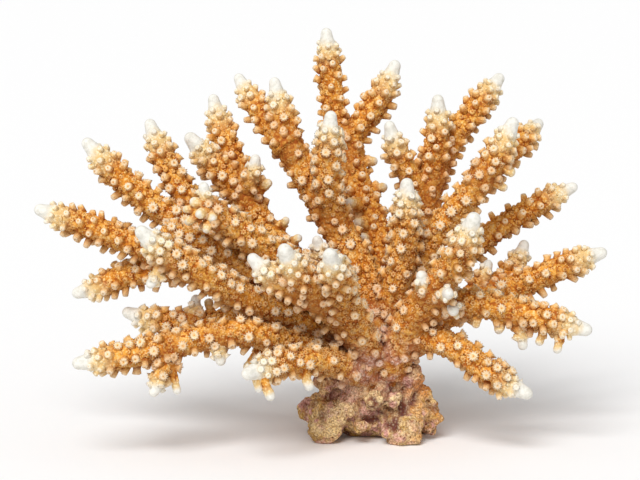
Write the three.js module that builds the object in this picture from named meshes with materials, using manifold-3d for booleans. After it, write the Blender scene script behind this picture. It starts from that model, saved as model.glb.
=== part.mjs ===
// A staghorn coral colony on the piece of rock that it grew on, sawn off flat underneath.
// Millimetres, +Z up. The origin is the middle of the flat underside, and the colony's front is -Y.
// The skeleton grew as one piece. It is divided here at its forks: each limb, branchlet and twig is
// a closed tapered tube that ends in a pointed tip, and it stops just short of what it grows from.
import * as THREE from 'three';
import { mergeVertices } from 'three/addons/utils/BufferGeometryUtils.js';
import Module from 'manifold-3d';

const GAP = 0.3; // clearance between a piece and what it grows from
const LIMB_SIDES = 8;
const TWIG_SIDES = 6;
const TWIG_RADIUS = 3.5; // a thinner limb is a twig, and has fewer sides
const RING_STEP = 14; // distance between the rings of a limb
const TIP_LENGTH = 9; // the pointed end of a full-sized limb
const TIP_SHARE = 0.4; // a twig's pointed end is at most this share of its length
const LINE_STEPS = 200; // the places along a centreline where its direction is worked out
const LUMP_SIDES = 9;
const LUMP_RINGS = 5;
const SAW_DEPTH = 20; // how far below the underside the saw cut clears
const SAW_WIDTH = 200;

// The two rings of a pointed end: how far each is from the apex, as a share of the end's length, and
// its radius, as a share of the limb's.
const TIP_RINGS = [
  { back: 0.55, radius: 0.75 },
  { back: 0.12, radius: 0.45 },
];

const CORAL = { color: 0xd69a52, roughness: 0.85, metalness: 0 };
const STEM = { color: 0xb98a6a, roughness: 0.9, metalness: 0 };
const ROCK = { color: 0x9c8462, roughness: 0.95, metalness: 0 };

// The rock: rounded lumps, each with its centre and its half-sizes.
const ROCK_LUMPS = [
  { centre: [0, 2, 10], half: [19, 15, 12] },
  { centre: [-18, -3, 11], half: [10, 12, 8] },
  { centre: [-18, -11, 5], half: [8, 8, 7] },
  { centre: [-12, 14, 6], half: [11, 9, 8] },
  { centre: [12, -14, 6], half: [9, 8, 8] },
  { centre: [18, 0, 10], half: [10, 12, 8] },
  { centre: [20, 8, 4], half: [8, 8, 7] },
  { centre: [7, 16, 6], half: [10, 8, 8] },
  { centre: [-16, -3, 20], half: [5, 5, 4] },
  { centre: [16, -5, 22], half: [5, 5, 8] },
];

// The stem and the crown above it, where the main limbs start.
const TRUNK_LUMPS = [
  { centre: [1, 0, 27], half: [13, 12, 14] },
  { centre: [2, 0, 41], half: [16, 12, 11] },
];

// Every limb, from the thick ones to the twigs that grow on them: the radius at its root, the
// radius of its body just below the tip, and its centreline from inside its parent to its tip.
const LIMBS = [
  {
    name: 'centre_limb', root: 7.5, body: 4.2,
    line: [[4, 1, 42], [-3, 2, 64], [-12, 5, 81], [-23, 8, 99], [-33, 10, 119], [-39, 12, 144]],
  },
  {
    name: 'centre_limb_left_fork', root: 4.8, body: 4,
    line: [[-34, 10, 119], [-38, 12, 123], [-46, 17, 131], [-54, 22, 144]],
  },
  {
    name: 'centre_limb_front_fork', root: 5, body: 4.5,
    line: [[-17, 6, 90], [-17, -1, 101], [-17, -4, 115], [-16, -6, 133]],
  },
  {
    name: 'tall_back_limb', root: 6.5, body: 4.6,
    line: [[4, 5, 42], [2, 14, 58], [3, 22, 76], [-4, 32, 95], [-8, 38, 113], [4, 41, 131],
      [11, 42, 147]],
  },
  {
    name: 'tall_back_limb_top_fork', root: 4.6, body: 4.2,
    line: [[-7, 37, 109], [-14, 41, 121], [-16, 44, 139], [-18, 45, 160]],
  },
  {
    name: 'upper_left_limb', root: 6, body: 5,
    line: [[0, 1, 38], [-14, 3, 53], [-30, 6, 69], [-41, 8, 81], [-52, 11, 97], [-63, 13, 108],
      [-74, 14, 121]],
  },
  {
    name: 'upper_left_limb_back_fork', root: 4.6, body: 4.2,
    line: [[-51, 11, 95], [-54, 17, 107], [-60, 24, 120], [-64, 28, 135]],
  },
  {
    name: 'upper_left_limb_twig', root: 3.2, body: 3,
    line: [[-51, 10, 96], [-47, 5, 106], [-46, 4, 114]],
  },
  {
    name: 'left_limb', root: 5.6, body: 4.6,
    line: [[-2, -1, 38], [-12, -2, 44], [-28, -4, 55], [-46, -6, 67], [-62, -8, 78], [-76, -8, 89],
      [-92, -8, 99], [-104, -8, 111], [-114, -8, 122]],
  },
  {
    name: 'left_limb_upper_fork', root: 4.6, body: 4.3,
    line: [[-63, -8, 79], [-72, -3, 95], [-82, 2, 111], [-89, 6, 128]],
  },
  {
    name: 'outer_left_limb', root: 5.6, body: 4.6,
    line: [[-2, 1, 36], [-16, 1, 42], [-44, 1, 55], [-68, 0, 66], [-88, -2, 76], [-112, -4, 86],
      [-134, -6, 94]],
  },
  {
    name: 'outer_left_limb_lower_fork', root: 4.8, body: 4.4,
    line: [[-74, 0, 69], [-91, 2, 68], [-105, 3, 62], [-120, 4, 57]],
  },
  {
    name: 'lower_left_limb', root: 5, body: 4.4,
    line: [[-38, 1, 53], [-50, 2, 48], [-72, 4, 45], [-86, 5, 46], [-100, 6, 50]],
  },
  {
    name: 'lower_left_limb_twig', root: 2.4, body: 2.2,
    line: [[-72, 4, 44], [-71, 4, 51], [-70, 4, 57]],
  },
  {
    name: 'knobbed_left_limb', root: 6, body: 5.4,
    line: [[0, -2, 38], [-12, -9, 53], [-28, -18, 70], [-38, -22, 77], [-53, -29, 89], [-64, -34, 98]],
  },
  {
    name: 'knobbed_left_limb_twig', root: 2.6, body: 2.2,
    line: [[-62, -33, 97], [-65, -34, 103], [-66, -34, 109]],
  },
  {
    name: 'shaded_left_limb', root: 4.6, body: 4.2,
    line: [[-22, -14, 62], [-43, -17, 68], [-52, -20, 74], [-61, -22, 80], [-71, -23, 84],
      [-83, -24, 88]],
  },
  {
    name: 'front_left_limb', root: 6.2, body: 5,
    line: [[-2, -2, 34], [-16, -7, 41], [-34, -14, 51], [-51, -27, 62], [-67, -41, 74], [-81, -48, 84],
      [-91, -52, 94]],
  },
  {
    name: 'front_left_limb_twig', root: 2.3, body: 2,
    line: [[-80, -47, 82], [-83, -48, 76], [-87, -50, 70]],
  },
  {
    name: 'inner_front_limb', root: 6, body: 5.2,
    line: [[-1, -4, 38], [-9, -14, 47], [-18, -27, 59], [-28, -41, 72], [-35, -52, 87]],
  },
  {
    name: 'inner_front_limb_left_fork', root: 4.6, body: 4.4,
    line: [[-23, -34, 65], [-37, -42, 71], [-48, -44, 82]],
  },
  {
    name: 'front_centre_limb', root: 7, body: 4.8,
    line: [[1, -4, 28], [-5, -18, 45], [-12, -36, 65], [-17, -58, 86]],
  },
  {
    name: 'front_right_limb', root: 7, body: 5.2,
    line: [[5, -3, 30], [14, -14, 47], [25, -25, 65], [34, -34, 80], [40, -42, 98]],
  },
  {
    name: 'front_right_limb_twig', root: 2.4, body: 2.2,
    line: [[24, -25, 63], [20, -29, 68], [19, -32, 73]],
  },
  {
    name: 'front_right_limb_upper_knob', root: 2.6, body: 2.5,
    line: [[26, -25, 63], [29, -33, 64], [30, -40, 66]],
  },
  {
    name: 'low_front_left_limb', root: 5.2, body: 4.8,
    line: [[0, -3, 31], [-10, -9, 34], [-27, -17, 39], [-36, -25, 44], [-51, -34, 49], [-69, -37, 47],
      [-84, -40, 44], [-100, -43, 41], [-117, -46, 39]],
  },
  {
    name: 'low_front_left_limb_outer_twig', root: 3, body: 2.8,
    line: [[-80, -39, 45], [-82, -43, 36], [-86, -46, 26]],
  },
  {
    name: 'low_front_left_limb_inner_twig', root: 2.6, body: 2.4,
    line: [[-62, -36, 49], [-60, -39, 43], [-59, -40, 37]],
  },
  {
    name: 'low_front_limb', root: 5.4, body: 4.8,
    line: [[0, -4, 28], [-10, -18, 32], [-20, -30, 37], [-35, -46, 39], [-50, -62, 38]],
  },
  {
    name: 'small_centre_limb', root: 3.2, body: 3,
    line: [[-18, 4, 57], [-19, 0, 68], [-22, -2, 82]],
  },
  {
    name: 'centre_right_limb', root: 6, body: 4.8,
    line: [[5, 0, 40], [8, -4, 54], [13, -9, 78], [14, -12, 107]],
  },
  {
    name: 'right_back_limb', root: 6, body: 4.5,
    line: [[7, 5, 42], [16, 12, 60], [22, 18, 79], [24, 20, 101], [27, 20, 118], [27, 20, 136]],
  },
  {
    name: 'right_back_limb_outer_fork', root: 4.8, body: 4.5,
    line: [[26, 21, 106], [35, 30, 119], [44, 37, 129], [54, 44, 141]],
  },
  {
    name: 'right_back_limb_inner_fork', root: 4.4, body: 4.2,
    line: [[22, 19, 95], [12, 15, 110], [7, 14, 126]],
  },
  {
    name: 'upper_right_limb', root: 6, body: 4.8,
    line: [[7, 0, 42], [14, 0, 60], [22, 0, 76], [30, 0, 87], [41, -2, 101], [50, -3, 115],
      [57, -4, 130]],
  },
  {
    name: 'upper_right_limb_back_fork', root: 4.5, body: 4.3,
    line: [[46, -2, 108], [60, 15, 117], [69, 28, 124]],
  },
  {
    name: 'outer_right_limb', root: 5.4, body: 4,
    line: [[8, 3, 40], [25, 9, 56], [39, 16, 72], [58, 21, 85], [71, 24, 92], [84, 26, 98]],
  },
  {
    name: 'middle_right_limb', root: 5.2, body: 4.6,
    line: [[6, 0, 38], [28, 1, 48], [46, 3, 55], [64, 5, 62], [80, 7, 69], [95, 8, 74]],
  },
  {
    name: 'middle_right_limb_upper_fork', root: 4.2, body: 4,
    line: [[45, 3, 55], [57, 15, 63], [63, 22, 76]],
  },
  {
    name: 'middle_right_limb_twig', root: 2.8, body: 2.6,
    line: [[36, 2, 50], [44, 7, 62], [48, 10, 70]],
  },
  {
    name: 'long_right_limb', root: 5.2, body: 4.8,
    line: [[20, -19, 56], [39, -18, 58], [55, -21, 55], [70, -24, 52], [87, -26, 48]],
  },
  {
    name: 'long_right_limb_lower_twig', root: 2.4, body: 2,
    line: [[57, -21, 55], [59, -23, 47], [60, -24, 40]],
  },
  {
    name: 'long_right_limb_knob', root: 2.4, body: 2.2,
    line: [[31, -18, 57], [32, -26, 57], [32, -33, 57]],
  },
  {
    name: 'low_right_limb', root: 5.4, body: 4.6,
    line: [[5, -2, 34], [14, -8, 39], [27, -18, 43], [39, -25, 37], [50, -31, 30], [63, -36, 24]],
  },
  {
    name: 'back_left_limb', root: 5.4, body: 4.5,
    line: [[-2, 4, 36], [-15, 22, 44], [-24, 42, 51], [-30, 62, 58]],
  },
  {
    name: 'back_right_limb', root: 5.4, body: 4.5,
    line: [[6, 4, 36], [18, 22, 42], [28, 41, 47], [36, 60, 53]],
  },
  {
    name: 'back_low_limb', root: 5.4, body: 4.5,
    line: [[2, 5, 28], [2, 28, 32], [0, 48, 38], [-4, 66, 48]],
  },
  {
    name: 'back_upper_limb', root: 5.2, body: 4.3,
    line: [[6, 8, 44], [12, 28, 60], [16, 42, 76], [19, 54, 90]],
  },
];

const wasm = await Module();
wasm.setup();

// A solid for cutting and joining, from a closed geometry. Triangles that have closed up at an end
// on the axis are left out.
function solidFrom(geometry) {
  const bare = geometry.clone();
  bare.deleteAttribute('normal');
  bare.deleteAttribute('uv');
  const merged = mergeVertices(bare);
  const corners = merged.index.array;
  const triangles = [];
  for (let i = 0; i < corners.length; i += 3) {
    const [a, b, c] = corners.slice(i, i + 3);
    if (a !== b && b !== c && c !== a) {
      triangles.push(a, b, c);
    }
  }
  return new wasm.Manifold(new wasm.Mesh({
    numProp: 3,
    vertProperties: new Float32Array(merged.attributes.position.array),
    triVerts: new Uint32Array(triangles),
  }));
}

function geometryFrom(solid) {
  const mesh = solid.getMesh();
  const geometry = new THREE.BufferGeometry();
  geometry.setAttribute('position', new THREE.BufferAttribute(mesh.vertProperties, 3));
  geometry.setIndex(new THREE.BufferAttribute(mesh.triVerts, 1));
  geometry.computeVertexNormals();
  return geometry;
}

// One rounded lump, larger all round by grow.
function lump({ centre, half }, grow) {
  const ball = new THREE.SphereGeometry(1, LUMP_SIDES, LUMP_RINGS);
  ball.rotateX(Math.PI / 2);
  ball.scale(...half.map((size) => size + grow));
  ball.translate(...centre);
  return solidFrom(ball);
}

function lumps(list, grow) {
  return list.map((one) => lump(one, grow)).reduce((whole, one) => whole.add(one));
}

// The saw cut that leaves the flat underside.
function sawCut() {
  const box = new THREE.BoxGeometry(SAW_WIDTH, SAW_WIDTH, SAW_DEPTH);
  box.translate(0, 0, -SAW_DEPTH / 2);
  return solidFrom(box);
}

// The outline of a straight limb, as radius against distance from its root: an even taper, and then
// a blunt cone for the tip.
function limbProfile(limb, length, grow) {
  const tip = Math.min(TIP_LENGTH, TIP_SHARE * length);
  const rings = Math.max(2, Math.round((length - tip) / RING_STEP));
  const profile = [new THREE.Vector2(0, -grow)];
  for (let i = 0; i <= rings; i++) {
    const share = i / rings;
    const radius = THREE.MathUtils.lerp(limb.root, limb.body, share);
    const back = i === 0 ? grow : 0; // the flat root end moves out too
    profile.push(new THREE.Vector2(radius + grow, share * (length - tip) - back));
  }
  for (const ring of TIP_RINGS) {
    profile.push(new THREE.Vector2(ring.radius * limb.body + grow, length - ring.back * tip));
  }
  profile.push(new THREE.Vector2(0, length + grow));
  return profile;
}

// A limb, larger all round by grow: its outline turned about an axis, and then bent along its line.
function limbSolid(limb, grow) {
  const curve = new THREE.CatmullRomCurve3(limb.line.map((point) => new THREE.Vector3(...point)));
  const length = curve.getLength();
  const profile = limbProfile(limb, length, grow);
  const sides = limb.body < TWIG_RADIUS ? TWIG_SIDES : LIMB_SIDES;
  const geometry = new THREE.LatheGeometry(profile, sides);
  const frames = curve.computeFrenetFrames(LINE_STEPS, false);
  const place = geometry.attributes.position;
  for (let i = 0; i < place.count; i++) {
    const share = THREE.MathUtils.clamp(place.getY(i) / length, 0, 1);
    const step = Math.round(share * LINE_STEPS);
    const point = curve.getPointAt(share);
    point.addScaledVector(frames.tangents[step], place.getY(i) - share * length);
    point.addScaledVector(frames.normals[step], place.getZ(i));
    point.addScaledVector(frames.binormals[step], place.getX(i));
    place.setXYZ(i, point.x, point.y, point.z);
  }
  return solidFrom(geometry);
}

function meshFrom(name, solid, look) {
  const mesh = new THREE.Mesh(geometryFrom(solid), new THREE.MeshStandardMaterial(look));
  mesh.name = name;
  return mesh;
}

const coral = new THREE.Group();
const taken = []; // what each later piece has to stay clear of

const trunk = lumps(TRUNK_LUMPS, 0);
const trunkRoom = lumps(TRUNK_LUMPS, GAP);
coral.add(meshFrom('trunk', trunk, STEM));
taken.push(trunkRoom);

const holdfast = lumps(ROCK_LUMPS, 0).subtract(sawCut()).subtract(trunkRoom);
coral.add(meshFrom('holdfast', holdfast, ROCK));
taken.push(lumps(ROCK_LUMPS, GAP));

for (const limb of LIMBS) {
  let solid = limbSolid(limb, 0);
  for (const room of taken) {
    solid = solid.subtract(room);
  }
  coral.add(meshFrom(limb.name, solid, CORAL));
  taken.push(limbSolid(limb, GAP));
}

export default coral;
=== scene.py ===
"""A dried staghorn coral colony: the fine surface of every limb, with its corallites, and the rock.

The CAD frame gives each limb's centreline and thickness. Every limb gets a fine skin with granules
and pits, and tubular corallites with toothed rims. Lengths are millimetres until a mesh is made.
"""
import math
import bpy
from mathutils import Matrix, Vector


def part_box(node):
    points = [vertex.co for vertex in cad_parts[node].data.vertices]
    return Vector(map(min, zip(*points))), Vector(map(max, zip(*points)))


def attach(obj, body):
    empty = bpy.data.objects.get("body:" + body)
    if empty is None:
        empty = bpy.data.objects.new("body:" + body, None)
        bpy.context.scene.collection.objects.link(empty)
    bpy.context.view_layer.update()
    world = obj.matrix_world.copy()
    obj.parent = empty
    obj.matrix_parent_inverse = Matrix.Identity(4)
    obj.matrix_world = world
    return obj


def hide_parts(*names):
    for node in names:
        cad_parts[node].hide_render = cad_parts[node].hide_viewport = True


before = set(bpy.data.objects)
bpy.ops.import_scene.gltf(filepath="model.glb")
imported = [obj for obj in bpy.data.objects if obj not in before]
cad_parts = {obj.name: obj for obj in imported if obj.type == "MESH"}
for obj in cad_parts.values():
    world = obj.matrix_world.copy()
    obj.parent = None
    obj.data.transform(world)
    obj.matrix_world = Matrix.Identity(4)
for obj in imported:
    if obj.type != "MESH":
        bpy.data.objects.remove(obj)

import zlib

import bmesh
import bpy
import numpy as np
from mathutils import Vector
from mathutils.bvhtree import BVHTree

MM = 0.001
FAR = 99.0                  # stands for any distance that is too long to matter
CHUNK = 3000                # distances are worked out for this many places at a time
SEED = 7

# The skin of the limbs.
GRID = 0.72                 # distance between its vertices
FEWEST_COLUMNS = 18         # and at least this many of them go around a limb
ROOT_DEPTH = 5.0            # how far a limb's skin runs on inside what it grows from
FULL_RING = 3               # a limb's solid is at its full radius from this ring on; its apex is 0
SHOULDER = 0.75             # share of the full radius that the ring before it has
TIP_BALL = 0.5              # radius of the rounded end of a tip, as a share of the limb's radius
SMALLEST_BALL = 1.9         # but a tip's end is at least this round, where the limb is thick enough
TIP_TAPER = 3.0             # a tip widens to the full radius over this many radii
MOST_GROWTH = 0.05          # radius gained for each millimetre towards the root, at most
CAP_ROWS = 6                # rows of vertices on the rounded end
CAP_START = 0.12            # angle of the first of them, in radians
STEEPEST = 3.0              # the skin's normals lean forward by this slope at most
FULL_RADIUS = 4.4           # a limb thinner than this has a shorter white end,
MOST_SHORTENING = 1.7       # by this factor at most
FILLET = 5.0                # reach of the fillets where limbs join
FILLET_HEIGHT = 1.25
JOINT_SHADE = (5.5, 0.5)    # painted shade darkens the coral between these distances from another limb
LUMP_SIZE = 8.0
LUMP_HEIGHT = 0.35
GRAIN_SIZE = 1.5
GRAIN_HEIGHT = 0.5
FINER = (0.6, 0.5)          # a second set of grains has these shares of the size and the height
PIT_SPACING = 2.1
PIT_EDGE = (0.2, 0.75)      # a pit's side lies between these distances from its middle
PIT_DEPTH = 0.4
SMOOTH_TIP = (4.8, 12.8)    # grains and pits grow to their full height between these tones

# The corallites. Distances from a tip are the limb's tones, described in Limb.
STAR_TEETH = 11
BARE_TIP = 6.5              # no corallites this close to a tip
SPOTS = 2.5                 # spots tried for each square millimetre of skin
SPACING = 4.4               # least distance between large corallites
TIP_SPACING = 3.1           # the same close to a tip, and how far from it that ends
TIP_SPACING_FADE = (6, 28)
CROWN_SPACING = 6.6         # and low down, where the limbs meet, but not close to a tip
CROWN_SPACING_FADE = (18, 45)
CROWN = (0, -4, 30)         # the place where the limbs meet
CROWN_REACH = (95, 40)      # the wider spacing comes in between these distances from it
CROWN_TINT = (30, 12)       # and its mauve colour between these
SMALL_SPACING = 2.7         # between small ones, which stand this far from large ones too
GRANULE_SPACING = 1.5
GRANULE_CLEAR = (1.9, 1.2)  # granules stand this far from large and from small corallites
FOOT_OVERLAP = 0.2          # a corallite's foot may be this deep in another limb,
END_OVERLAP = 0.6           # and its end this deep
FOOT_DEPTH = 0.1            # how far its foot is sunk in the skin
RADIUS = (1.3, 1.6)
HEIGHT = (2.8, 3.8)
SMALL_RADIUS = (0.65, 0.95)
SMALL_HEIGHT = (0.6, 1.3)
GRANULE_RADIUS = (0.35, 0.55)
GRANULE_HEIGHT = (0.5, 0.95)
GROWTH = (4, 18)            # they grow to their full size between these distances from a tip,
YOUNG_RADIUS = 0.72         # from these shares of it
YOUNG_HEIGHT = 0.5
STAR_RADIUS = (0.95, 1.15)  # factor on the radius of a plain one, and of a star
STAR_HEIGHT = (1, 0.8)      # the same for the height
BELOW_HEIGHT = (0.92, 1.15)  # factor on the height on upper sides, and on lower ones
LEAN = (8, 30)              # degrees towards the tip of the limb
TIP_LEAN = 22               # more degrees close to a tip, and where those end
TIP_LEAN_FADE = (8, 22)
SWAY = 0.15                 # how unevenly they point
UNEVEN_RADIUS = 0.08        # unevenness of a ring, of which the gaps between teeth have a share
UNEVEN_GAPS = 0.4
UNEVEN_TEETH = 0.15         # unevenness of the teeth's height
UNEVEN_GRAIN = 0.4          # unevenness of their colour
COLLAR_HEIGHT = 0.3         # the skin swells this much at the foot of a corallite,
COLLAR_REACH = 1.7
COLLAR_SMOOTH = 0.6         # is this much smoother there,
COLLAR_RIM = 0.2            # and this much paler

# Where corallites are stars. The rest are plain tubes.
STAR_FRONT = (-20, 8)       # they come in between these distances in front of the trunk,
STAR_MIDDLE = (-15, 60)     # around this place in X and Z,
STAR_REACH = (70, 100)      # fade out between these distances from it,
STAR_UPPER = (-0.7, 0.1)    # and need skin that faces up this much
STAR_LEAST = 0.12
STAR_SPREAD = 0.15
STAR_SHARE = 0.3            # a corallite gets its teeth above this amount

# The nubs.
NUB_FADE = 2.4              # a nub's white end is shorter than a limb's by this factor
NUB_BARE = 20               # this much more of a nub has no corallites
NUB_ROOT = 0.4              # it starts this far out from its limb's centreline, as a share
NUB_WIDENING = 1.15         # from its end to its root
NUB_TONE = (1, 6)           # the tone that its end starts from, at the front and at the back,
NUB_DEPTH = (-35, -15)      # which are these places in Y

# Limbs that end in a round head, with no white tip.
DULL = ("knobbed_left_limb", "shaded_left_limb")
DULL_BALL = 0.9             # radius of the head, as a share of the limb's radius
DULL_TONE = 24.0            # the tone that its end starts from
DULL_NUB_TONE = 5.5         # the same for its nubs

# The trunk and the rock.
SOLIDS = ("trunk", "holdfast")
VOXEL = 0.6
SOFTENING = 10              # rounds of smoothing
TRUNK_TONE = 90.0           # the trunk is coloured as a limb is this far from its tip
TRUNK_GAP = 0.3             # its corallites' feet are this far from the limbs,
TRUNK_HEIGHT = 3            # and this high up
TRUNK_OVERLAP = 0.5         # they may be this deep in one
FLAT_FOOT = (0.2, 1.5)      # the rock gets its relief between these heights
BOULDER = 4.5               # size of its rounded lumps
ARCH_HEIGHT = 4.5           # of the low arch between its two feet
ARCH_MIDDLE = -5            # in X
ARCH_SIDE = (12, 5)         # the arch rises between these distances from its middle,
ARCH_FRONT = (2, 9)         # and between these distances in front of the origin
AMBER_SIDE = (6, 18)        # the rock turns amber between these places in X
PALE_EDGE = 3               # width of the edge of a knob's pale crust

# The stage, in metres and degrees.
FLOOR_REACH = 6
FLOOR_WHITE = 0.98
WORLD_STRENGTH = 0.46
SUN_STRENGTH = 2.5
SUN_WIDTH = 35
SUN_DIRECTION = (0.28, 0.9, -1)
LENS = 211                  # millimetres, as is the sensor
SENSOR = 36
AIM = (-0.0204, 0, 0.080)
CAMERA_DISTANCE = 1.5
CAMERA_TILT = 10

# Knobs that stand out of the rock, and fill the corner under the trunk: a place, a radius and how
# pale its crust is.
KNOBS = [
    ((1.5, -16, 17.5), 4.2, 1.0),
    ((9.5, -14, 18), 4.2, 0.9),
    ((-9, -12, 15), 4.5, 0.3),
    ((-14, -13, 11), 4.6, 0.8),
    ((-19, -13, 6), 4.8, 0.7),
    ((-24, -5, 12), 5.0, 0.0),
    ((-18, -6, 22), 4.5, 0.0),
    ((-4, -16, 8), 2.8, 0.4),
    ((13, -14, 6), 6.5, 0.8),
    ((22, -5, 18), 3.0, 0.0),
    ((25, -5, 14), 2.6, 0.2),
    ((25, -6, 9), 3.6, 0.3),
    ((24, -8, 4), 3.0, 0.3),
    ((15, -8, 24), 3.4, 0.0),
    ((18, -8, 27), 2.8, 0.0),
    ((-5, -9, 21), 5.5, 0.4),
    ((5, -9, 22), 5.0, 0.4),
    ((11, -5, 22), 5.0, 0.0),
    ((-11, -4, 22), 5.0, 0.2),
    ((6, -8, 10), 6.0, 0.0),
    ((-4, -8, 12), 6.0, 0.0),
    ((13, -9, 14), 6.0, 0.1),
    ((18, -9, 12), 5.5, 0.5),
]

# Short stout nubs: the limb that they grow on, then the middle of each one's end and its radius.
NUBS = {
    "knobbed_left_limb": [
        ((-71, -35, 102), 1.7),
        ((-74, -33, 98), 1.5),
        ((-68, -41, 97), 1.8),
        ((-62, -40, 95), 1.8),
        ((-73, -37, 93), 1.7),
        ((-65, -40, 90), 1.6),
    ],
    "upper_right_limb": [
        ((54, -4, 101), 1.9),
        ((57, -4, 107), 1.8),
    ],
    "upper_left_limb": [
        ((-40, 6, 103), 1.7),
        ((-33, 4, 88), 1.7),
        ((-28, 4, 81), 1.7),
    ],
    "low_front_left_limb": [
        ((-76, -42, 26), 1.6),
        ((-50, -24, 32), 1.8),
    ],
    "low_front_limb": [
        ((-39, -58, 27), 2.0),
        ((-24, -44, 28), 1.9),
        ((-44, -57, 30), 1.6),
    ],
    "long_right_limb": [
        ((41, -20, 48), 1.7),
        ((50, -22, 46), 1.7),
        ((66, -25, 42), 1.7),
        ((73, -26, 39), 1.7),
    ],
    "tall_back_limb": [
        ((11, 42, 132), 1.7),
        ((3, 34, 107), 1.7),
        ((7, 31, 97), 1.7),
        ((-9, 14, 93), 2.4),
        ((-6, 14, 85), 2.4),
        ((-4, 14, 79), 2.4),
    ],
    "lower_left_limb": [
        ((-65, 6, 55), 1.7),
    ],
}


# ------------------------------------------------------------------------------------- numbers

def smooth(value, low, high):
    """0 below low, 1 above high, and an even ease between them."""
    share = np.clip((value - low) / (high - low), 0, 1)
    return share * share * (3 - 2 * share)


def mix(low, high, share):
    return low + (high - low) * share


def unit(vectors):
    return vectors / np.maximum(np.linalg.norm(vectors, axis=-1, keepdims=True), 1e-9)


HASH_FACTORS = np.array([0x8da6b343, 0xd8163841, 0xcb1ab31f], np.uint32)
HASH_SEED = 0x9e3779b1
HASH_TURNS = ((15, 0x2c1b3c6d), (12, 0x297a2d39), (15, 1))
HASH_TOP = 0xffffff


def hashed(cells, seed):
    """Even random numbers from 0 to 1 for whole-number places, the same on every run."""
    mixed = cells.astype(np.int64).astype(np.uint32) * HASH_FACTORS
    mixed = mixed[..., 0] ^ mixed[..., 1] ^ mixed[..., 2] ^ np.uint32(seed * HASH_SEED & 0xffffffff)
    for turn, factor in HASH_TURNS:
        mixed = (mixed ^ (mixed >> np.uint32(turn))) * np.uint32(factor)
    return (mixed & np.uint32(HASH_TOP)) / float(HASH_TOP)


def noise(places, size, seed):
    """Smooth random heights from -1 to 1, with bumps about as wide as size."""
    scaled = places / size
    base = np.floor(scaled)
    part = scaled - base
    part = part * part * (3 - 2 * part)
    total = 0
    for corner in np.ndindex(2, 2, 2):
        weight = np.prod(np.where(corner, part, 1 - part), axis=-1)
        total = total + weight * hashed(base + np.array(corner), seed)
    return 2 * total - 1


def nearest_cell(places, size, seed):
    """Distance from each place to the nearest of points scattered one to a cell."""
    scaled = places / size
    base = np.floor(scaled)
    best = np.full(len(places), FAR)
    for corner in np.ndindex(3, 3, 3):
        cell = base + np.array(corner) - 1
        seeds = (seed, seed + 11, seed + 22)
        point = cell + np.stack([hashed(cell, one) for one in seeds], axis=-1)
        best = np.minimum(best, ((point - scaled) ** 2).sum(axis=-1))
    return np.sqrt(best) * size


def chunks(count):
    """Splits the numbers from 0 up to count into short runs."""
    return np.array_split(np.arange(count), count // CHUNK + 1)


def random_for(name):
    """Random numbers of a piece's own."""
    return np.random.default_rng(SEED + zlib.crc32(name.encode()))


# ------------------------------------------------------------------------- the limbs, from the frame

def node_mesh(name):
    """A CAD node's vertices, with doubles merged, and its triangles."""
    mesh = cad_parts[name].data
    place = np.empty(len(mesh.vertices) * 3)
    mesh.vertices.foreach_get("co", place)
    place = place.reshape(-1, 3) / MM
    mesh.calc_loop_triangles()
    corners = np.empty(len(mesh.loop_triangles) * 3, dtype=np.int32)
    mesh.loop_triangles.foreach_get("vertices", corners)
    _, first, index = np.unique(np.round(place, 2), axis=0, return_index=True, return_inverse=True)
    return place[first], index.reshape(-1)[corners].reshape(-1, 3)


def limb_rings(name):
    """Reads a limb's solid from its tip: its centreline, and its radii from the first full ring on.

    The rings of the pointed end are left out. The rings near the root may be cut by what the limb
    grows from, so the walk stops at the first uneven one, and the line goes on to the middle of the
    root.
    """
    place, triangles = node_mesh(name)
    near = [set() for _ in place]
    for a, b, c in triangles:
        near[a] |= {b, c}
        near[b] |= {a, c}
        near[c] |= {a, b}

    def unevenness(i):
        edges = np.linalg.norm(place[list(near[i])] - place[i], axis=1)
        return edges.std() / edges.mean() + (len(near[i]) < 6)

    apex = min(range(len(place)), key=unevenness)
    seen = {apex}
    ring = {apex}
    centres = [place[apex]]
    radii = [0.0]
    while True:
        outer = {j for i in ring for j in near[i]} - seen
        if len(outer) != len(near[apex]):
            break
        corners = place[sorted(outer)]
        spokes = np.linalg.norm(corners - corners.mean(axis=0), axis=1)
        if spokes.std() > 0.03 * spokes.mean():
            break
        centres.append(corners.mean(axis=0))
        radii.append(spokes.mean())
        seen |= outer
        ring = outer
    rest = place[[i for i in range(len(place)) if i not in seen]]
    away = np.linalg.norm(rest - centres[-1], axis=1)
    root = rest[away > 0.7 * away.max()].mean(axis=0)
    first = min(FULL_RING, len(radii) - 1)
    share = 1 if first == FULL_RING else SHOULDER
    return np.array([centres[0], *centres[first:], root]), np.array(radii[first:]) / share


def curve_through(points, places):
    """A smooth curve through points, at places that are measured along the straight chords."""
    chord = np.concatenate([[0], np.cumsum(np.linalg.norm(np.diff(points, axis=0), axis=1))])
    slope = np.gradient(points, chord, axis=0)
    span = np.clip(np.searchsorted(chord, places, side="right") - 1, 0, len(points) - 2)
    width = (chord[span + 1] - chord[span])[:, None]
    t = (places[:, None] - chord[span][:, None]) / width
    return ((1 + 2 * t) * (1 - t) ** 2 * points[span] + t * (1 - t) ** 2 * width * slope[span]
            + t * t * (3 - 2 * t) * points[span + 1] + t * t * (t - 1) * width * slope[span + 1])


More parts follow.
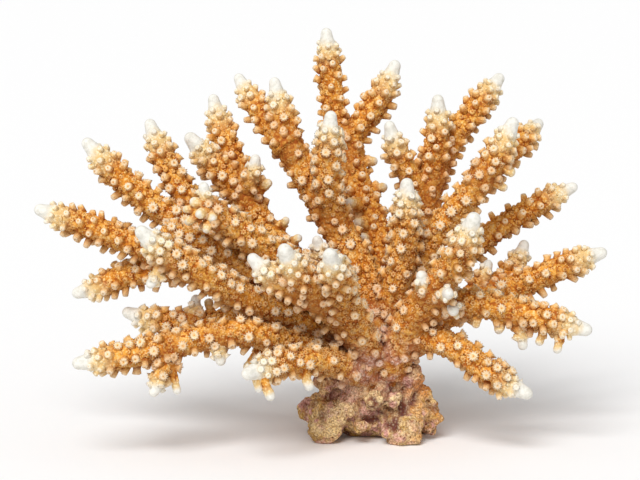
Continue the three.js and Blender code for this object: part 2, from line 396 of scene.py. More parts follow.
class Limb:
    """The rows of a limb's skin, from the tip to the root: centre, radius, directions and tone.

    line runs from the apex to the root, and body holds the radii at its second point and on. back is
    each row's distance from the tip. tone is the same for the colours, stretched on thin limbs, which
    have a shorter white end, and it starts from first_tone, so that a dull head has no white.
    ball_share is the radius of the rounded end, as a share of the limb's. A nub is a Limb too.
    """

    def __init__(self, name, line, body, first_tone, ball_share=TIP_BALL, nub=False):
        self.name = name
        self.nub = nub
        line = np.vstack([line, line[-1] + ROOT_DEPTH * unit(line[-1] - line[-2])])
        chord = np.concatenate([[0], np.cumsum(np.linalg.norm(np.diff(line, axis=0), axis=1))])
        ball = max(ball_share * body[0], min(SMALLEST_BALL, body[0]))
        cap = ball * (1 - np.cos(np.linspace(CAP_START, math.pi / 2, CAP_ROWS)))
        self.back = np.concatenate([cap, np.arange(ball + GRID, chord[-1], GRID)])
        self.centre = curve_through(line, self.back)
        full = self.full_radius(chord, body)
        wide = mix(ball, full, smooth(self.back, 0, TIP_TAPER * body[0]))
        self.radius = wide * np.sqrt(1 - (1 - np.clip(self.back / ball, 0, 1)) ** 2)
        stretch = NUB_FADE if nub else np.clip(FULL_RADIUS / body[0], 1, MOST_SHORTENING)
        self.tone = first_tone + self.back * stretch
        self.turn()

    def full_radius(self, chord, body):
        """The limb's radius at each row, with no rounding at the tip."""
        full = np.interp(self.back, chord[1:1 + len(body)], body)
        if len(body) > 1:
            growth = (body[-1] - body[0]) / max(chord[len(body)] - chord[1], 1)
            past = np.maximum(self.back - chord[len(body)], 0)
            full = full + past * np.clip(growth, 0, MOST_GROWTH)
        return full

    def turn(self):
        """Carries two directions across the limb along its rows without twisting."""
        self.ahead = unit(-np.gradient(self.centre, axis=0))
        side = np.cross(self.ahead[0], [0.3, 0.2, 0.9])
        sides = []
        for ahead in self.ahead:
            side = unit(side - ahead * (side @ ahead))
            sides.append(side)
        self.side = np.array(sides)
        self.across = np.cross(self.ahead, self.side)

    def point(self, row, angle):
        """Places on the skin, the directions outward and towards the tip there, and the tones."""
        low = np.clip(np.floor(row).astype(int), 0, len(self.back) - 2)
        share = row - low
        centre, ahead, side, across = (
            mix(rows[low], rows[low + 1], share[:, None])
            for rows in (self.centre, self.ahead, self.side, self.across)
        )
        radius, tone = (mix(rows[low], rows[low + 1], share) for rows in (self.radius, self.tone))
        out = np.cos(angle)[:, None] * side + np.sin(angle)[:, None] * across
        return centre + out * radius[:, None], out, ahead, tone


def cad_limb(name):
    """A limb of the frame."""
    first_tone, ball_share = (DULL_TONE, DULL_BALL) if name in DULL else (0.0, TIP_BALL)
    return Limb(name, *limb_rings(name), first_tone, ball_share)


def solid_tree(name):
    place, triangles = node_mesh(name)
    return BVHTree.FromPolygons(place.tolist(), triangles.tolist())


LIMBS = {name: cad_limb(name) for name in sorted(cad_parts) if name not in SOLIDS}
TREES = {name: solid_tree(name) for name in SOLIDS}


def limb_distance(places, limb):
    """Distance from each place to a limb's surface, less than 0 inside it."""
    found = np.full(len(places), FAR)
    reach = limb.radius.max() + 2 * FILLET
    low, high = limb.centre.min(axis=0) - reach, limb.centre.max(axis=0) + reach
    close = np.flatnonzero(((places > low) & (places < high)).all(axis=1))
    for part in chunks(len(close)):
        spots = close[part]
        gap = np.linalg.norm(places[spots, None] - limb.centre[None, ::2], axis=2) - limb.radius[::2]
        found[spots] = gap.min(axis=1)
    return found


def solid_distance(places, name):
    """The same for the trunk or the rock."""
    low, high = (np.array(corner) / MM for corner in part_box(name))
    found = np.full(len(places), FAR)
    close = ((places > low - FILLET) & (places < high + FILLET)).all(axis=1)
    for i in np.flatnonzero(close):
        spot, normal, _, away = TREES[name].find_nearest(places[i])
        found[i] = away if (Vector(places[i]) - spot).dot(normal) > 0 else -away
    return found


def clearance(places, own):
    """Distance from each place to the nearest other piece."""
    gaps = [limb_distance(places, limb) for name, limb in LIMBS.items() if name != own]
    gaps += [solid_distance(places, name) for name in SOLIDS if name != own]
    return np.min(gaps, axis=0)


# ------------------------------------------------------------------------------------- corallites

def nearest_squared(places, others):
    """Squared distance from each place to the nearest of the others, endless if there are none."""
    found = np.full(len(places), np.inf)
    if len(others):
        for part in chunks(len(places)):
            found[part] = ((places[part, None] - others[None]) ** 2).sum(axis=2).min(axis=1)
    return found


def apart(places, others, gap):
    """Which places are further than gap from all the others."""
    return nearest_squared(places, others) > gap ** 2


def scatter(places, spacing):
    """Picks places in order, each at least its spacing from the ones picked before it."""
    picked = np.full(places.shape, 1e6)
    kept = []
    for i, place in enumerate(places):
        if ((picked[:len(kept) + 1] - place) ** 2).sum(axis=1).min() > spacing[i] ** 2:
            picked[len(kept)] = place
            kept.append(i)
    return np.array(kept, dtype=int)


def ring_strip(low, high, low_start, high_start):
    """Triangles between two rings; one of them may have twice as many corners as the other."""
    n = min(low, high)
    faces = []
    for i in range(n):
        j = (i + 1) % n
        if low == high:
            faces.append((low_start + i, low_start + j, high_start + j))
            faces.append((low_start + i, high_start + j, high_start + i))
        elif high > low:
            a, b, c = (high_start + (2 * i + k) % high for k in range(3))
            faces += [(low_start + i, low_start + j, b), (low_start + i, b, a), (low_start + j, c, b)]
        else:
            a, b, c = (low_start + (2 * i + k) % low for k in range(3))
            faces += [(a, b, high_start + i), (b, high_start + j, high_start + i), (b, c, high_start + j)]
    return faces


def fan(count, start, centre, up):
    """Triangles between a ring and a vertex in its middle, facing up or down."""
    turn = 1 if up else -1
    return [(start + i, start + (i + 1) % count, centre)[::turn] for i in range(count)]


class Shape:
    """A corallite's rings, from its foot, up the outside, over the rim and down inside.

    A ring is (radius, height, rim), in shares of the corallite's own radius and height, or a pair of
    those, for the corners between the teeth and for the teeth. rim is how pale it is, from 0 to 1.
    middle is the height and rim of the last point, in the middle, and pit is how dark it is.
    """

    def __init__(self, teeth, rings, middle, pit):
        spots, starts = [], []
        for ring in rings:
            corners = ring if isinstance(ring[0], tuple) else (ring,)
            starts.append(len(spots))
            for i in range(len(corners) * teeth):
                tooth = len(corners) == 2 and i % 2 == 0
                angle = 2 * math.pi * i / len(corners) / teeth
                spots.append((angle, *corners[0], *corners[-1 if tooth else 0], tooth))
        starts.append(len(spots))
        counts = np.diff(starts)
        faces = []
        for k in range(len(rings) - 1):
            faces += ring_strip(counts[k], counts[k + 1], starts[k], starts[k + 1])
        last, foot = len(spots), len(spots) + 1
        faces += fan(counts[-1], starts[-2], last, True) + fan(counts[0], 0, foot, False)
        spots.append((0, 0, *middle, 0, *middle, False))
        spots.append((0, 0, *rings[0][1:], 0, *rings[0][1:], False))
        spots = np.array(spots, float)
        self.angle = spots[:, 0]
        self.plain = spots[:, 1:4]
        self.star = spots[:, 4:7]
        self.tooth = spots[:, 7]
        self.pit = np.zeros(len(spots))
        self.pit[last] = pit
        self.faces = np.array(faces)


STAR = Shape(STAR_TEETH, [
    (1.25, -0.15, 0.0),
    (0.92, 0.42, 0.4),
    ((0.98, 0.8, 0.65), (1.34, 1.05, 1.1)),
    (0.7, 1.0, 1.0),
    (0.26, 0.9, 0.7),
], (0.78, 0.2), 1)
TUBE = Shape(8, [
    (1.2, -0.15, 0.0),
    (1.0, 0.6, 0.45),
    (0.8, 0.94, 1.0),
    (0.38, 1.0, 0.85),
], (0.88, 0.3), 1)
SMALL = Shape(6, [
    (1.6, -0.5, 0.0),
    ((0.75, 0.7, 0.3), (1.15, 1.15, 0.8)),
], (0.3, 0.2), 1)
GRANULE = Shape(5, [(1.0, -0.3, 0.0)], (1.0, 0.8), 0)


def corallites(shape, foot, axis, radius, height, star, random):
    """Meshes of many corallites of one shape: vertices, triangles, and their rim and pit values.

    star is 1 for sharp flaring teeth and 0 for a smooth rounded end.
    """
    across = unit(np.cross(axis, random.normal(size=axis.shape)))
    along = np.cross(axis, across)
    r, h, rim = (mix(low, high, star[:, None]) for low, high in zip(shape.plain.T, shape.star.T))
    uneven = UNEVEN_RADIUS * random.normal(size=r.shape) * mix(UNEVEN_GAPS, 1, shape.tooth)
    r = r * radius[:, None] * (1 + uneven)
    h = h * height[:, None] + UNEVEN_TEETH * random.normal(size=h.shape) * shape.tooth * star[:, None]
    x = r * np.cos(shape.angle)
    y = r * np.sin(shape.angle)
    place = foot[:, None] + x[..., None] * across[:, None]
    place = place + y[..., None] * along[:, None] + h[..., None] * axis[:, None]
    faces = shape.faces[None] + len(shape.angle) * np.arange(len(foot))[:, None, None]
    pit = np.tile(shape.pit, len(foot))
    return place.reshape(-1, 3), faces.reshape(-1, 3), rim.reshape(-1), pit


def star_amount(foot, out, random):
    """How star-like a corallite is: most in the middle of the front and on upper sides."""
    front = smooth(-foot[:, 1], *STAR_FRONT)
    aside = np.hypot(foot[:, 0] - STAR_MIDDLE[0], foot[:, 2] - STAR_MIDDLE[1])
    middle = 1 - smooth(aside, *STAR_REACH)
    upper = smooth(out[:, 2], *STAR_UPPER)
    chance = STAR_SPREAD * random.normal(size=len(foot))
    return np.clip(STAR_LEAST + front * middle * upper + chance, 0, 1)


def underside(directions):
    """0 where a direction points up, and 1 where it points straight down: the mask of the painted shade
    on undersides.
    """
    return smooth(-directions[:, 2], -0.3, 1)


# ------------------------------------------------------------------------------------- pieces

def add_object(name, data):
    """Puts a new object into the scene."""
    made = bpy.data.objects.new(name, data)
    bpy.context.scene.collection.objects.link(made)
    return made


class Parts:
    """Collects the vertices, faces and values of one piece."""

    def __init__(self):
        self.places = []
        self.faces = []
        self.values = []
        self.count = 0

    def add(self, places, faces, **values):
        self.places.append(places)
        self.faces.extend((faces + self.count).tolist())
        self.values.append({name: np.broadcast_to(value, len(places)) for name, value in values.items()})
        self.count += len(places)

    def piece(self, name, node, material, slot):
        mesh = bpy.data.meshes.new(name)
        mesh.from_pydata((np.vstack(self.places) * MM).tolist(), [], self.faces)
        crown = smooth(np.linalg.norm(np.vstack(self.places) - CROWN, axis=1), *CROWN_TINT)
        values = {key: np.concatenate([row[key] for row in self.values]) for key in self.values[0]}
        for key, numbers in {**values, "crown": crown}.items():
            layer = mesh.attributes.new(key, "FLOAT", "POINT")
            layer.data.foreach_set("value", numbers.astype(np.float32))
        mesh.shade_smooth()
        mesh.materials.append(material)
        piece = add_object(name, mesh)
        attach(piece, "root")
        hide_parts(node)


def surface_relief(places, tone):
    """Height of the grains and pits over the smooth skin, and how deep in a pit each place is."""
    size, share = FINER
    rough = smooth(tone, *SMOOTH_TIP)
    lumps = LUMP_HEIGHT * noise(places, LUMP_SIZE, seed=1)
    finer = share * noise(places, GRAIN_SIZE * size, seed=3)
    grain = GRAIN_HEIGHT * (noise(places, GRAIN_SIZE, seed=2) + finer)
    pit = 1 - smooth(nearest_cell(places, PIT_SPACING, seed=4), *PIT_EDGE)
    return rough * (lumps + grain - PIT_DEPTH * pit), rough * pit, rough * grain / GRAIN_HEIGHT


def skinned(place, normal, tone, feet, own):
    """Moves a smooth skin's vertices to their places on the rough one, and works out its values."""
    relief, pit, grain = surface_relief(place, tone)
    gap = clearance(place, own)
    fillet = FILLET_HEIGHT * np.clip(1 - np.maximum(gap, 0) / FILLET, 0, 1) ** 2 * (gap > -FILLET)
    collar = np.exp(-nearest_squared(place, feet) / COLLAR_REACH ** 2)
    height = relief * (1 - COLLAR_SMOOTH * collar) + fillet + COLLAR_HEIGHT * collar
    values = {
        "back": tone,
        "pit": pit * (1 - collar),
        "grain": grain,
        "rim": COLLAR_RIM * collar,
        # painted shade on the undersides
        "under": underside(normal),
        # painted shade where another limb is close
        "joint": smooth(gap, *JOINT_SHADE),
    }
    return place + normal * height[:, None], values


def add_skin(parts, limb, feet):
    """Adds the fine skin of a limb to a piece, with both its ends closed."""
    columns = max(FEWEST_COLUMNS, round(2 * math.pi * limb.radius.max() / GRID))
    rows = len(limb.back)
    row = np.repeat(np.arange(rows, dtype=float), columns)
    angle = np.tile(2 * math.pi * np.arange(columns) / columns, rows)
    place, out, ahead, tone = limb.point(row, angle)
    slope = np.gradient(limb.radius, limb.back)[row.astype(int)][:, None]
    normal = unit(out + np.clip(slope, 0, STEEPEST) * ahead)
    place, values = skinned(place, normal, tone, feet, limb.name)
    index = np.arange(rows * columns).reshape(rows, columns)
    following = np.roll(index, -1, axis=1)
    quads = np.stack([index[1:], following[1:], following[:-1], index[:-1]], axis=-1)
    parts.add(place, quads.reshape(-1, 4), **values)
    close_ends(parts, limb, index - index.size)


def close_ends(parts, limb, index):
    """Closes a skin with a vertex at each end. index counts back from the first of those."""
    ends = np.array([limb.centre[0] + limb.ahead[0] * 0.02, limb.centre[-1]])
    first = [(0, i, j) for i, j in zip(index[0], np.roll(index[0], -1))]
    last = [(1, j, i) for i, j in zip(index[-1], np.roll(index[-1], -1))]
    tone = limb.tone[[0, -1]]
    parts.add(ends, np.array(first + last), back=tone, pit=0, grain=0, rim=0, under=0, joint=0)


def limb_spots(limb, count, random):
    """Even random spots on a limb's skin, outside everything else."""
    weight = np.cumsum(limb.radius * np.gradient(limb.back))
    row = np.interp(random.random(count) * weight[-1], weight, np.arange(len(weight)))
    angle = 2 * math.pi * random.random(count)
    place, out, ahead, back = limb.point(row, angle)
    end = len(limb.back) - 0.5 * ROOT_DEPTH / GRID
    keep = (back > BARE_TIP + NUB_BARE * limb.nub) & (row < end)
    return [values[keep] for values in (place, out, ahead, back)]


def add_corallites(parts, shape, spots, size, random):
    """Adds the corallites of one kind to a piece."""
    place, out, ahead, back, joint, star = spots
    radii, heights = size
    count = len(place)
    if not count:
        return
    near_tip = 1 - smooth(back, *TIP_LEAN_FADE)
    lean = np.radians(random.uniform(*LEAN, count)) + np.radians(TIP_LEAN) * near_tip
    sway = SWAY * random.normal(size=(count, 3))
    axis = unit(out * np.cos(lean)[:, None] + ahead * np.sin(lean)[:, None] + sway)
    grown = smooth(back, *GROWTH)
    below = smooth(-out[:, 2], 0, 1)
    radius = random.uniform(*radii, count) * mix(YOUNG_RADIUS, 1, grown) * mix(*STAR_RADIUS, star)
    height = random.uniform(*heights, count) * mix(YOUNG_HEIGHT, 1, grown) * mix(*BELOW_HEIGHT, below)
    height = height * mix(*STAR_HEIGHT, star)
    foot = place - FOOT_DEPTH * out
    vertices, faces, rim, pit = corallites(shape, foot, axis, radius, height, star, random)
    grain = UNEVEN_GRAIN * random.normal(size=count)
    each = {"back": back, "grain": grain, "under": underside(out), "joint": joint}
    values = {key: np.repeat(numbers, len(shape.angle)) for key, numbers in each.items()}
    parts.add(vertices, faces, rim=rim, pit=pit, **values)


def share_out(place, out, ahead, back, joint, random):
    """Shares out spots: the places of the large corallites, and each kind's shape, spots and size."""
    crown = smooth(np.linalg.norm(place - CROWN, axis=1), *CROWN_REACH)
    along = mix(TIP_SPACING, SPACING, smooth(back, *TIP_SPACING_FADE))
    spacing = mix(along, CROWN_SPACING, crown * smooth(back, *CROWN_SPACING_FADE))
    star = star_amount(place, out, random)
    large = scatter(place, spacing)
    rest = np.flatnonzero(apart(place, place[large], SMALL_SPACING))
    small = rest[scatter(place[rest], np.full(len(rest), SMALL_SPACING))]
    from_large, from_small = GRANULE_CLEAR
    free = apart(place, place[large], from_large) & apart(place, place[small], from_small)
    rest = np.flatnonzero(free)
    granules = rest[scatter(place[rest], np.full(len(rest), GRANULE_SPACING))]
    toothed = star[large] > STAR_SHARE
    kinds = (
        (STAR, large[toothed], (RADIUS, HEIGHT)),
        (TUBE, large[~toothed], (RADIUS, HEIGHT)),
        (SMALL, small, (SMALL_RADIUS, SMALL_HEIGHT)),
        (GRANULE, granules, (GRANULE_RADIUS, GRANULE_HEIGHT)),
    )
    spots = (place, out, ahead, back, joint, star)
    shared = [(shape, [values[chosen] for values in spots], size) for shape, chosen, size in kinds]
    return place[large], shared


def add_limb(parts, limb, random):
    """Adds a limb's skin and corallites to a piece."""
    area = 2 * math.pi * (limb.radius * np.gradient(limb.back)).sum()
    place, out, ahead, back = limb_spots(limb, int(area * SPOTS), random)
    gap = clearance(place, limb.name)
    room = clearance(place + np.mean(HEIGHT) * out, limb.name)
    free = (gap > -FOOT_OVERLAP) & (room > -END_OVERLAP)
    spots = [values[free] for values in (place, out, ahead, back, smooth(gap, *JOINT_SHADE))]
    feet, kinds = share_out(*spots, random)
    add_skin(parts, limb, feet)
    for shape, chosen, size in kinds:
        add_corallites(parts, shape, chosen, size, random)


def nub_on(limb, end, radius):
    """A short thick branchlet, from the middle of its limb out to its end."""
    end = np.array(end, float)
    middle = limb.centre[np.linalg.norm(limb.centre - end, axis=1).argmin()]
    root = middle + NUB_ROOT * (end - middle)
    line = np.array([end, (end + root) / 2, root])
    body = np.array([radius, radius * NUB_WIDENING])
    first_tone = DULL_NUB_TONE if limb.name in DULL else mix(*NUB_TONE, smooth(end[1], *NUB_DEPTH))
    return Limb(limb.name, line, body, first_tone, nub=True)


def make_limb(limb, material):
    """A limb's piece, with its nubs."""
    random = random_for(limb.name)
    parts = Parts()
    add_limb(parts, limb, random)
    for end, radius in NUBS.get(limb.name, ()):
        add_limb(parts, nub_on(limb, end, radius), random)
    parts.piece("coral_" + limb.name, limb.name, material, "coral_limb")


# ------------------------------------------------------------------------------------- materials

class Nodes:
    """Short calls for a material's node tree. Sizes are millimetres."""

    def __init__(self, name, roughness, specular):
        self.material = bpy.data.materials.new(name)
        self.material.use_nodes = True
        self.tree = self.material.node_tree
        self.shader = self.tree.nodes["Principled BSDF"]
        self.shader.inputs["Roughness"].default_value = roughness
        self.shader.inputs["Specular IOR Level"].default_value = specular
        self.place = self.node("ShaderNodeTexCoord").outputs["Object"]

    def node(self, kind, **settings):
        made = self.tree.nodes.new(kind)
        for key, value in settings.items():
            setattr(made, key, value)
        return made

    def link(self, source, target):
        if isinstance(source, (int, float, tuple)):
            target.default_value = source
        else:
            self.tree.links.new(source, target)

    def value(self, name):
        return self.node("ShaderNodeAttribute", attribute_name=name).outputs["Fac"]

    def noise(self, size, detail=2.0, roughness=0.5):
        made = self.node("ShaderNodeTexNoise")
        self.link(self.place, made.inputs["Vector"])
        made.inputs["Scale"].default_value = 1 / (size * MM)
        made.inputs["Detail"].default_value = detail
        made.inputs["Roughness"].default_value = roughness
        return made.outputs["Fac"]

    def spots(self, size):
        made = self.node("ShaderNodeTexVoronoi")
        self.link(self.place, made.inputs["Vector"])
        made.inputs["Scale"].default_value = 1 / (size * MM)
        return made.outputs["Distance"]

    def ease(self, value, low, high, start=0.0, end=1.0):
        made = self.node("ShaderNodeMapRange", interpolation_type="SMOOTHSTEP")
        self.link(value, made.inputs["Value"])
        for key, number in (("From Min", low), ("From Max", high), ("To Min", start), ("To Max", end)):
            made.inputs[key].default_value = number
        return made.outputs["Result"]

    def math(self, operation, first, second):
        made = self.node("ShaderNodeMath", operation=operation)
        self.link(first, made.inputs[0])
        self.link(second, made.inputs[1])
        return made.outputs[0]

    def blend(self, share, low, high):
        """Mixes two colours, each a tuple or another node's output."""
        made = self.node("ShaderNodeMix", data_type="RGBA")
        self.link(share, made.inputs["Factor"])
        for colour, socket in ((low, made.inputs["A"]), (high, made.inputs["B"])):
            self.link(colour if not isinstance(colour, tuple) else (*colour, 1.0), socket)
        return made.outputs["Result"]

    def bump(self, height, distance, strength=1.0):
        made = self.node("ShaderNodeBump")
        self.link(height, made.inputs["Height"])
        made.inputs["Distance"].default_value = distance * MM
        made.inputs["Strength"].default_value = strength
        self.link(made.outputs["Normal"], self.shader.inputs["Normal"])


def linear(red, green, blue):
    """A colour given in everyday 0 to 255 numbers, as the shader wants it."""
    return tuple(((c / 255 + 0.055) / 1.055) ** 2.4 for c in (red, green, blue))


def skeleton_colour(coat, fine, pebble):
    """The golden skin with its grains and pits, and the paler corallites. The grains' hollows are darker
    and their crests paler: partly random tone, partly painted shade and painted highlight.
    """
    rim, pit, grain = (coat.value(key) for key in ("rim", "pit", "grain"))
    patch = coat.ease(coat.noise(7, 3), 0.35, 0.65)
    high = coat.math("ADD", coat.math("MULTIPLY", fine, 0.6), pebble)
    high = coat.math("ADD", coat.math("MULTIPLY", grain, 0.8), high)
    dark_tone_and_shade = linear(176, 92, 18)
    pale_tone_and_highlight = linear(251, 208, 136)
    tube = coat.blend(fine, linear(234, 172, 92), linear(248, 208, 144))
    lip = coat.blend(fine, linear(240, 204, 156), linear(251, 232, 204))
    pit_shade = linear(178, 92, 24)
    colour = coat.blend(patch, linear(224, 146, 42), linear(238, 174, 74))
    # darker in the grains' hollows and paler on their crests: partly random tone, partly painted shade
    # and painted highlight
    colour = coat.blend(coat.ease(high, -0.2, 0.8), dark_tone_and_shade, colour)
    colour = coat.blend(coat.ease(high, 0.65, 1.8), colour, pale_tone_and_highlight)
    colour = coat.blend(coat.ease(rim, 0.05, 0.6), colour, tube)
    colour = coat.blend(coat.ease(rim, 0.6, 1.0), colour, lip)
    # painted shade in the pits of the skin and the mouths of the corallites
    colour = coat.blend(coat.ease(pit, 0.3, 0.9), colour, pit_shade)
    # the mauve near the crown is likewise darker in hollows and paler on crests: partly painted shade and
    # painted highlight
    mauve = coat.blend(coat.ease(high, 0.1, 1.6), linear(196, 134, 108), linear(255, 222, 210))
    low_down = coat.math("MULTIPLY", coat.value("crown"), coat.ease(coat.noise(8, 2), 0.35, 0.6))
    return coat.blend(low_down, colour, mauve)


def shaded(coat, colour):
    """Paints shade into the colour: darker where limbs meet and close to them, and on the undersides."""
    rim, under = coat.value("rim"), coat.value("under")
    # painted shade in the gaps between limbs: dark brown skin, paler corallite rims
    gap_shade_colour = coat.blend(coat.ease(rim, 0.1, 0.9), linear(150, 74, 18), linear(232, 178, 124))
    colour = coat.blend(coat.math("MULTIPLY", coat.value("joint"), 0.5), colour, gap_shade_colour)
    # painted shade on the undersides: darker brown skin, paler grey-beige corallites
    below = coat.blend(coat.ease(rim, 0.1, 0.6), linear(128, 74, 30), linear(200, 166, 130))
    return coat.blend(coat.math("MULTIPLY", under, 0.5), colour, below)


def with_tip(coat, colour, pebble):
    """Turns the colour to cream and then to white towards the tip, with a ragged edge."""
    rim, back = coat.value("rim"), coat.value("back")
    shift = coat.math("MULTIPLY", coat.math("SUBTRACT", coat.noise(5, 2), 0.5), -8.0)
    ragged = coat.math("ADD", back, shift)
    cream = coat.blend(pebble, linear(230, 196, 134), linear(246, 228, 186))
    cream = coat.blend(coat.ease(rim, 0.3, 1.0), cream, linear(250, 236, 210))
    cloudy = coat.ease(coat.noise(1.6, 3), 0.4, 0.65)
    white = coat.blend(cloudy, linear(234, 231, 222), linear(218, 215, 204))
    colour = coat.blend(coat.ease(ragged, 8, 18), cream, colour)
    return coat.blend(coat.ease(ragged, 4, 10), white, colour)


def coral_material():
    """Dry coral skeleton: matt and granular, and smoother towards a tip."""
    coat = Nodes("coral_skeleton", roughness=0.75, specular=0.3)
    fine = coat.ease(coat.noise(0.9, 3, 0.6), 0.32, 0.68)
    pebble = coat.ease(coat.spots(1.2), 0.62, 0.15)
    colour = shaded(coat, skeleton_colour(coat, fine, pebble))
    coat.link(with_tip(coat, colour, pebble), coat.shader.inputs["Base Color"])
    rough = coat.math("ADD", coat.noise(0.7, 3, 0.6), coat.math("MULTIPLY", pebble, 0.6))
    strength = coat.ease(coat.value("back"), 3, 12, 0.15, 1.0)
    coat.bump(coat.math("MULTIPLY", rough, strength), 0.35, 0.9)
    return coat.material


def crust_colour(coat):
    """The rock's patches: olive and mauve, with cream, amber and pale crusts over them, and paler where
    it stands high, partly as painted highlight.
    """
    amber, pale = coat.value("amber"), coat.value("pale")
    amber_patch = coat.math("MULTIPLY", amber, coat.ease(coat.noise(6, 2), 0.45, 0.58))
    crown = coat.math("MULTIPLY", coat.value("crown"), 0.55)
    pale_patch = coat.math("MULTIPLY", pale, coat.ease(coat.noise(3, 2), 0.35, 0.55))
    mauve_patch = coat.ease(coat.noise(8, 2), 0.4, 0.55)
    colour = coat.blend(mauve_patch, linear(186, 142, 58), linear(222, 166, 156))
    colour = coat.blend(coat.ease(coat.noise(5, 2), 0.5, 0.62), colour, linear(248, 212, 146))
    colour = coat.blend(amber_patch, colour, linear(226, 150, 52))
    colour = coat.blend(crown, colour, linear(226, 172, 156))
    # paler where the rock stands high: partly its own crust colour, partly painted highlight
    colour = coat.blend(coat.ease(coat.value("high"), 0.2, 1.0), colour, linear(250, 220, 166))
    return coat.blend(pale_patch, colour, linear(252, 224, 168))


def rock_material():
    """Encrusted rock: dark with painted shade in its ruts and pits, pale on its pebbles, and specked with
    brown.
    """
    coat = Nodes("encrusted_rock", roughness=0.85, specular=0.25)
    pit, high = coat.value("pit"), coat.value("high")
    speck = coat.ease(coat.noise(0.8, 3, 0.6), 0.38, 0.62)
    pebble = coat.ease(coat.spots(1.3), 0.6, 0.15)
    # purple-brown low in the ruts: partly the rock's own colour, partly painted shade
    colour = coat.blend(coat.ease(high, -0.1, -0.8), crust_colour(coat), linear(112, 66, 62))
    colour = coat.blend(coat.math("MULTIPLY", pebble, 0.35), colour, linear(252, 232, 196))
    colour = coat.blend(speck, coat.blend(0.62, colour, linear(122, 64, 18)), colour)
    # painted shade in the pits
    colour = coat.blend(coat.ease(pit, 0.3, 0.8), colour, linear(124, 62, 18))
    coat.link(colour, coat.shader.inputs["Base Color"])
    coat.bump(coat.math("ADD", coat.noise(0.8, 3, 0.6), pebble), 0.4, 0.8)
    return coat.material


# ------------------------------------------------------------------------------------- trunk and rock

def ball_mesh(place, radius):
    """The vertices and faces of a coarse ball."""
    shape = bmesh.new()
    bmesh.ops.create_icosphere(shape, subdivisions=3, radius=radius)
    spots = [tuple(vertex.co + Vector(place)) for vertex in shape.verts]
    faces = [[vertex.index for vertex in face.verts] for face in shape.faces]
    shape.free()
    return spots, faces


def remeshed(name, knobs):
    """A CAD node and some knobs joined as one fine even mesh: its vertices, normals and faces."""
    place, triangles = node_mesh(name)
    spots, faces = place.tolist(), triangles.tolist()
    for knob in knobs:
        more, corners = ball_mesh(*knob[:2])
        faces += [[i + len(spots) for i in face] for face in corners]
        spots += more
    mesh = bpy.data.meshes.new(name + "_coarse")
    mesh.from_pydata(spots, [], faces)
    holder = add_object(name + "_coarse", mesh)
    remesh = holder.modifiers.new("remesh", "REMESH")
    remesh.mode = "VOXEL"
    remesh.voxel_size = VOXEL
    soften = holder.modifiers.new("soften", "SMOOTH")
    soften.iterations = SOFTENING
    fine = bpy.data.meshes.new_from_object(holder.evaluated_get(bpy.context.evaluated_depsgraph_get()))
    bpy.data.objects.remove(holder)
    place = np.empty(len(fine.vertices) * 3)
    fine.vertices.foreach_get("co", place)
    normal = np.empty(len(fine.vertices) * 3)
    fine.vertices.foreach_get("normal", normal)
    faces = [tuple(face.vertices) for face in fine.polygons]
    bpy.data.meshes.remove(fine)
    return place.reshape(-1, 3), normal.reshape(-1, 3), np.array(faces)


def make_trunk(material):
    """The trunk, with the limbs' own skin and a few corallites."""
    random = random_for("trunk")
    place, normal, faces = remeshed("trunk", [])
    order = random.permutation(len(place))
    up = np.array([0, 0, 1.0])
    spots, out = place[order], unit(normal[order])
    gap = clearance(spots, "trunk")
    room = clearance(spots + TRUNK_HEIGHT * out, "trunk")
    free = (gap > TRUNK_GAP) & (room > -TRUNK_OVERLAP)
    spots, out = spots[free], out[free]
    ahead = unit(up - out * (out @ up)[:, None] + 1e-6)
    tone = np.full(len(spots), TRUNK_TONE)
    feet, kinds = share_out(spots, out, ahead, tone, np.zeros(len(spots)), random)
    place, values = skinned(place, normal, np.full(len(place), TRUNK_TONE), feet, "trunk")
    parts = Parts()
    parts.add(place, faces, **values)
    for shape, chosen, size in kinds:
        add_corallites(parts, shape, chosen, size, random)
    parts.piece("coral_trunk", "trunk", material, "coral_stem")


def rock_relief(place):
    """Height of the rock's surface over its lobes, the depth in pits, and how high a place stands."""
    high = noise(place, 9, seed=5) + 0.6 * noise(place, 4, seed=6)
    billow = 1 - 2 * nearest_cell(place, BOULDER, seed=8) / BOULDER
    fine = noise(place, 1.4, seed=7) + 0.5 * noise(place, 0.9, seed=10)
    pit = 1 - smooth(nearest_cell(place, 1.6, seed=9), 0.1, 0.6)
    height = 1.2 * high + 1.3 * billow + 0.5 * noise(place, 2.4, seed=12) + 0.4 * fine - 0.7 * pit
    return height, pit, 0.5 * high + 0.6 * billow


def pale_crust(place):
    """How pale each place on the rock is, from the knobs that it is on or near."""
    pale = np.zeros(len(place))
    for middle, radius, share in KNOBS:
        away = np.linalg.norm(place - middle, axis=1)
        pale = np.maximum(pale, share * smooth(away, radius + PALE_EDGE, radius))
    return pale


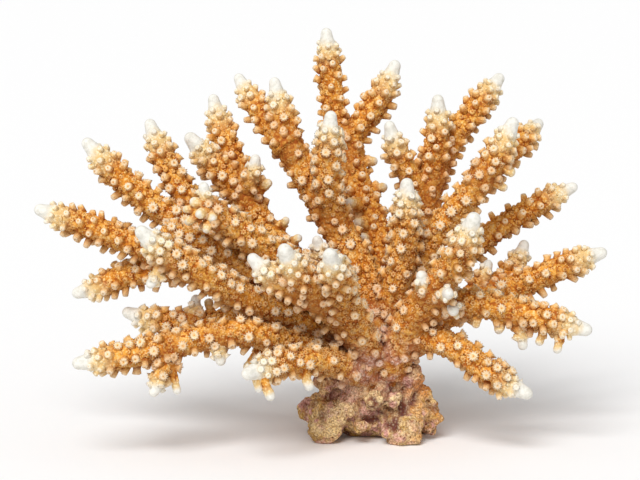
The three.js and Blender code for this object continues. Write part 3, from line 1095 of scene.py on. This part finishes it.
def make_rock(material):
    """The rock: lobes and knobs, with ruts, granules and pits, and a low arch under its front."""
    place, normal, faces = remeshed("holdfast", KNOBS)
    height, pit, high = rock_relief(place)
    floor = smooth(place[:, 2], *FLAT_FOOT)
    place = place + normal * (height * floor)[:, None]
    across = smooth(np.abs(place[:, 0] - ARCH_MIDDLE), *ARCH_SIDE)
    arch = ARCH_HEIGHT * across * smooth(-place[:, 1], *ARCH_FRONT)
    place[:, 2] = np.maximum(place[:, 2], arch)
    amber = smooth(place[:, 0], *AMBER_SIDE)
    parts = Parts()
    parts.add(place, faces, pit=pit, high=high, amber=amber, pale=pale_crust(place))
    parts.piece("coral_holdfast", "holdfast", material, "encrusted_rock")


# ------------------------------------------------------------------------------------- stage

def facing(direction):
    """The rotation of a light or a camera that looks in a direction."""
    return Vector(direction).to_track_quat("-Z", "Y").to_euler()


def make_floor():
    """A plain pale floor."""
    mesh = bpy.data.meshes.new("floor")
    corners = [(-1, -1), (1, -1), (1, 1), (-1, 1)]
    mesh.from_pydata([(x * FLOOR_REACH, y * FLOOR_REACH, 0) for x, y in corners], [], [(0, 1, 2, 3)])
    pale = bpy.data.materials.new("pale_floor")
    pale.use_nodes = True
    shader = pale.node_tree.nodes["Principled BSDF"]
    shader.inputs["Base Color"].default_value = (FLOOR_WHITE, FLOOR_WHITE, FLOOR_WHITE, 1)
    shader.inputs["Roughness"].default_value = 0.9
    mesh.materials.append(pale)
    floor = add_object("floor", mesh)


def make_light():
    """An even white surround, and a wide soft sun from behind the camera and above."""
    world = bpy.data.worlds.new("soft_studio")
    world.use_nodes = True
    background = world.node_tree.nodes["Background"]
    background.inputs["Color"].default_value = (1, 1, 1, 1)
    background.inputs["Strength"].default_value = WORLD_STRENGTH
    bpy.context.scene.world = world
    sun = bpy.data.lights.new("key", "SUN")
    sun.energy = SUN_STRENGTH
    sun.angle = math.radians(SUN_WIDTH)
    add_object("key", sun).rotation_euler = facing(SUN_DIRECTION)
    bpy.context.scene.view_settings.view_transform = "Standard"


def make_camera():
    """The camera, in front of the coral and looking slightly down on it."""
    data = bpy.data.cameras.new("camera")
    data.lens = LENS
    data.sensor_width = SENSOR
    camera = add_object("camera", data)
    aim = Vector(AIM)
    tilt = math.radians(CAMERA_TILT)
    camera.location = aim + CAMERA_DISTANCE * Vector((0, -math.cos(tilt), math.sin(tilt)))
    camera.rotation_euler = facing(aim - camera.location)
    bpy.context.scene.camera = camera


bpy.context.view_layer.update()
coral = coral_material()
rock = rock_material()
for limb in LIMBS.values():
    make_limb(limb, coral)
make_trunk(coral)
make_rock(rock)
make_floor()
make_light()
make_camera()
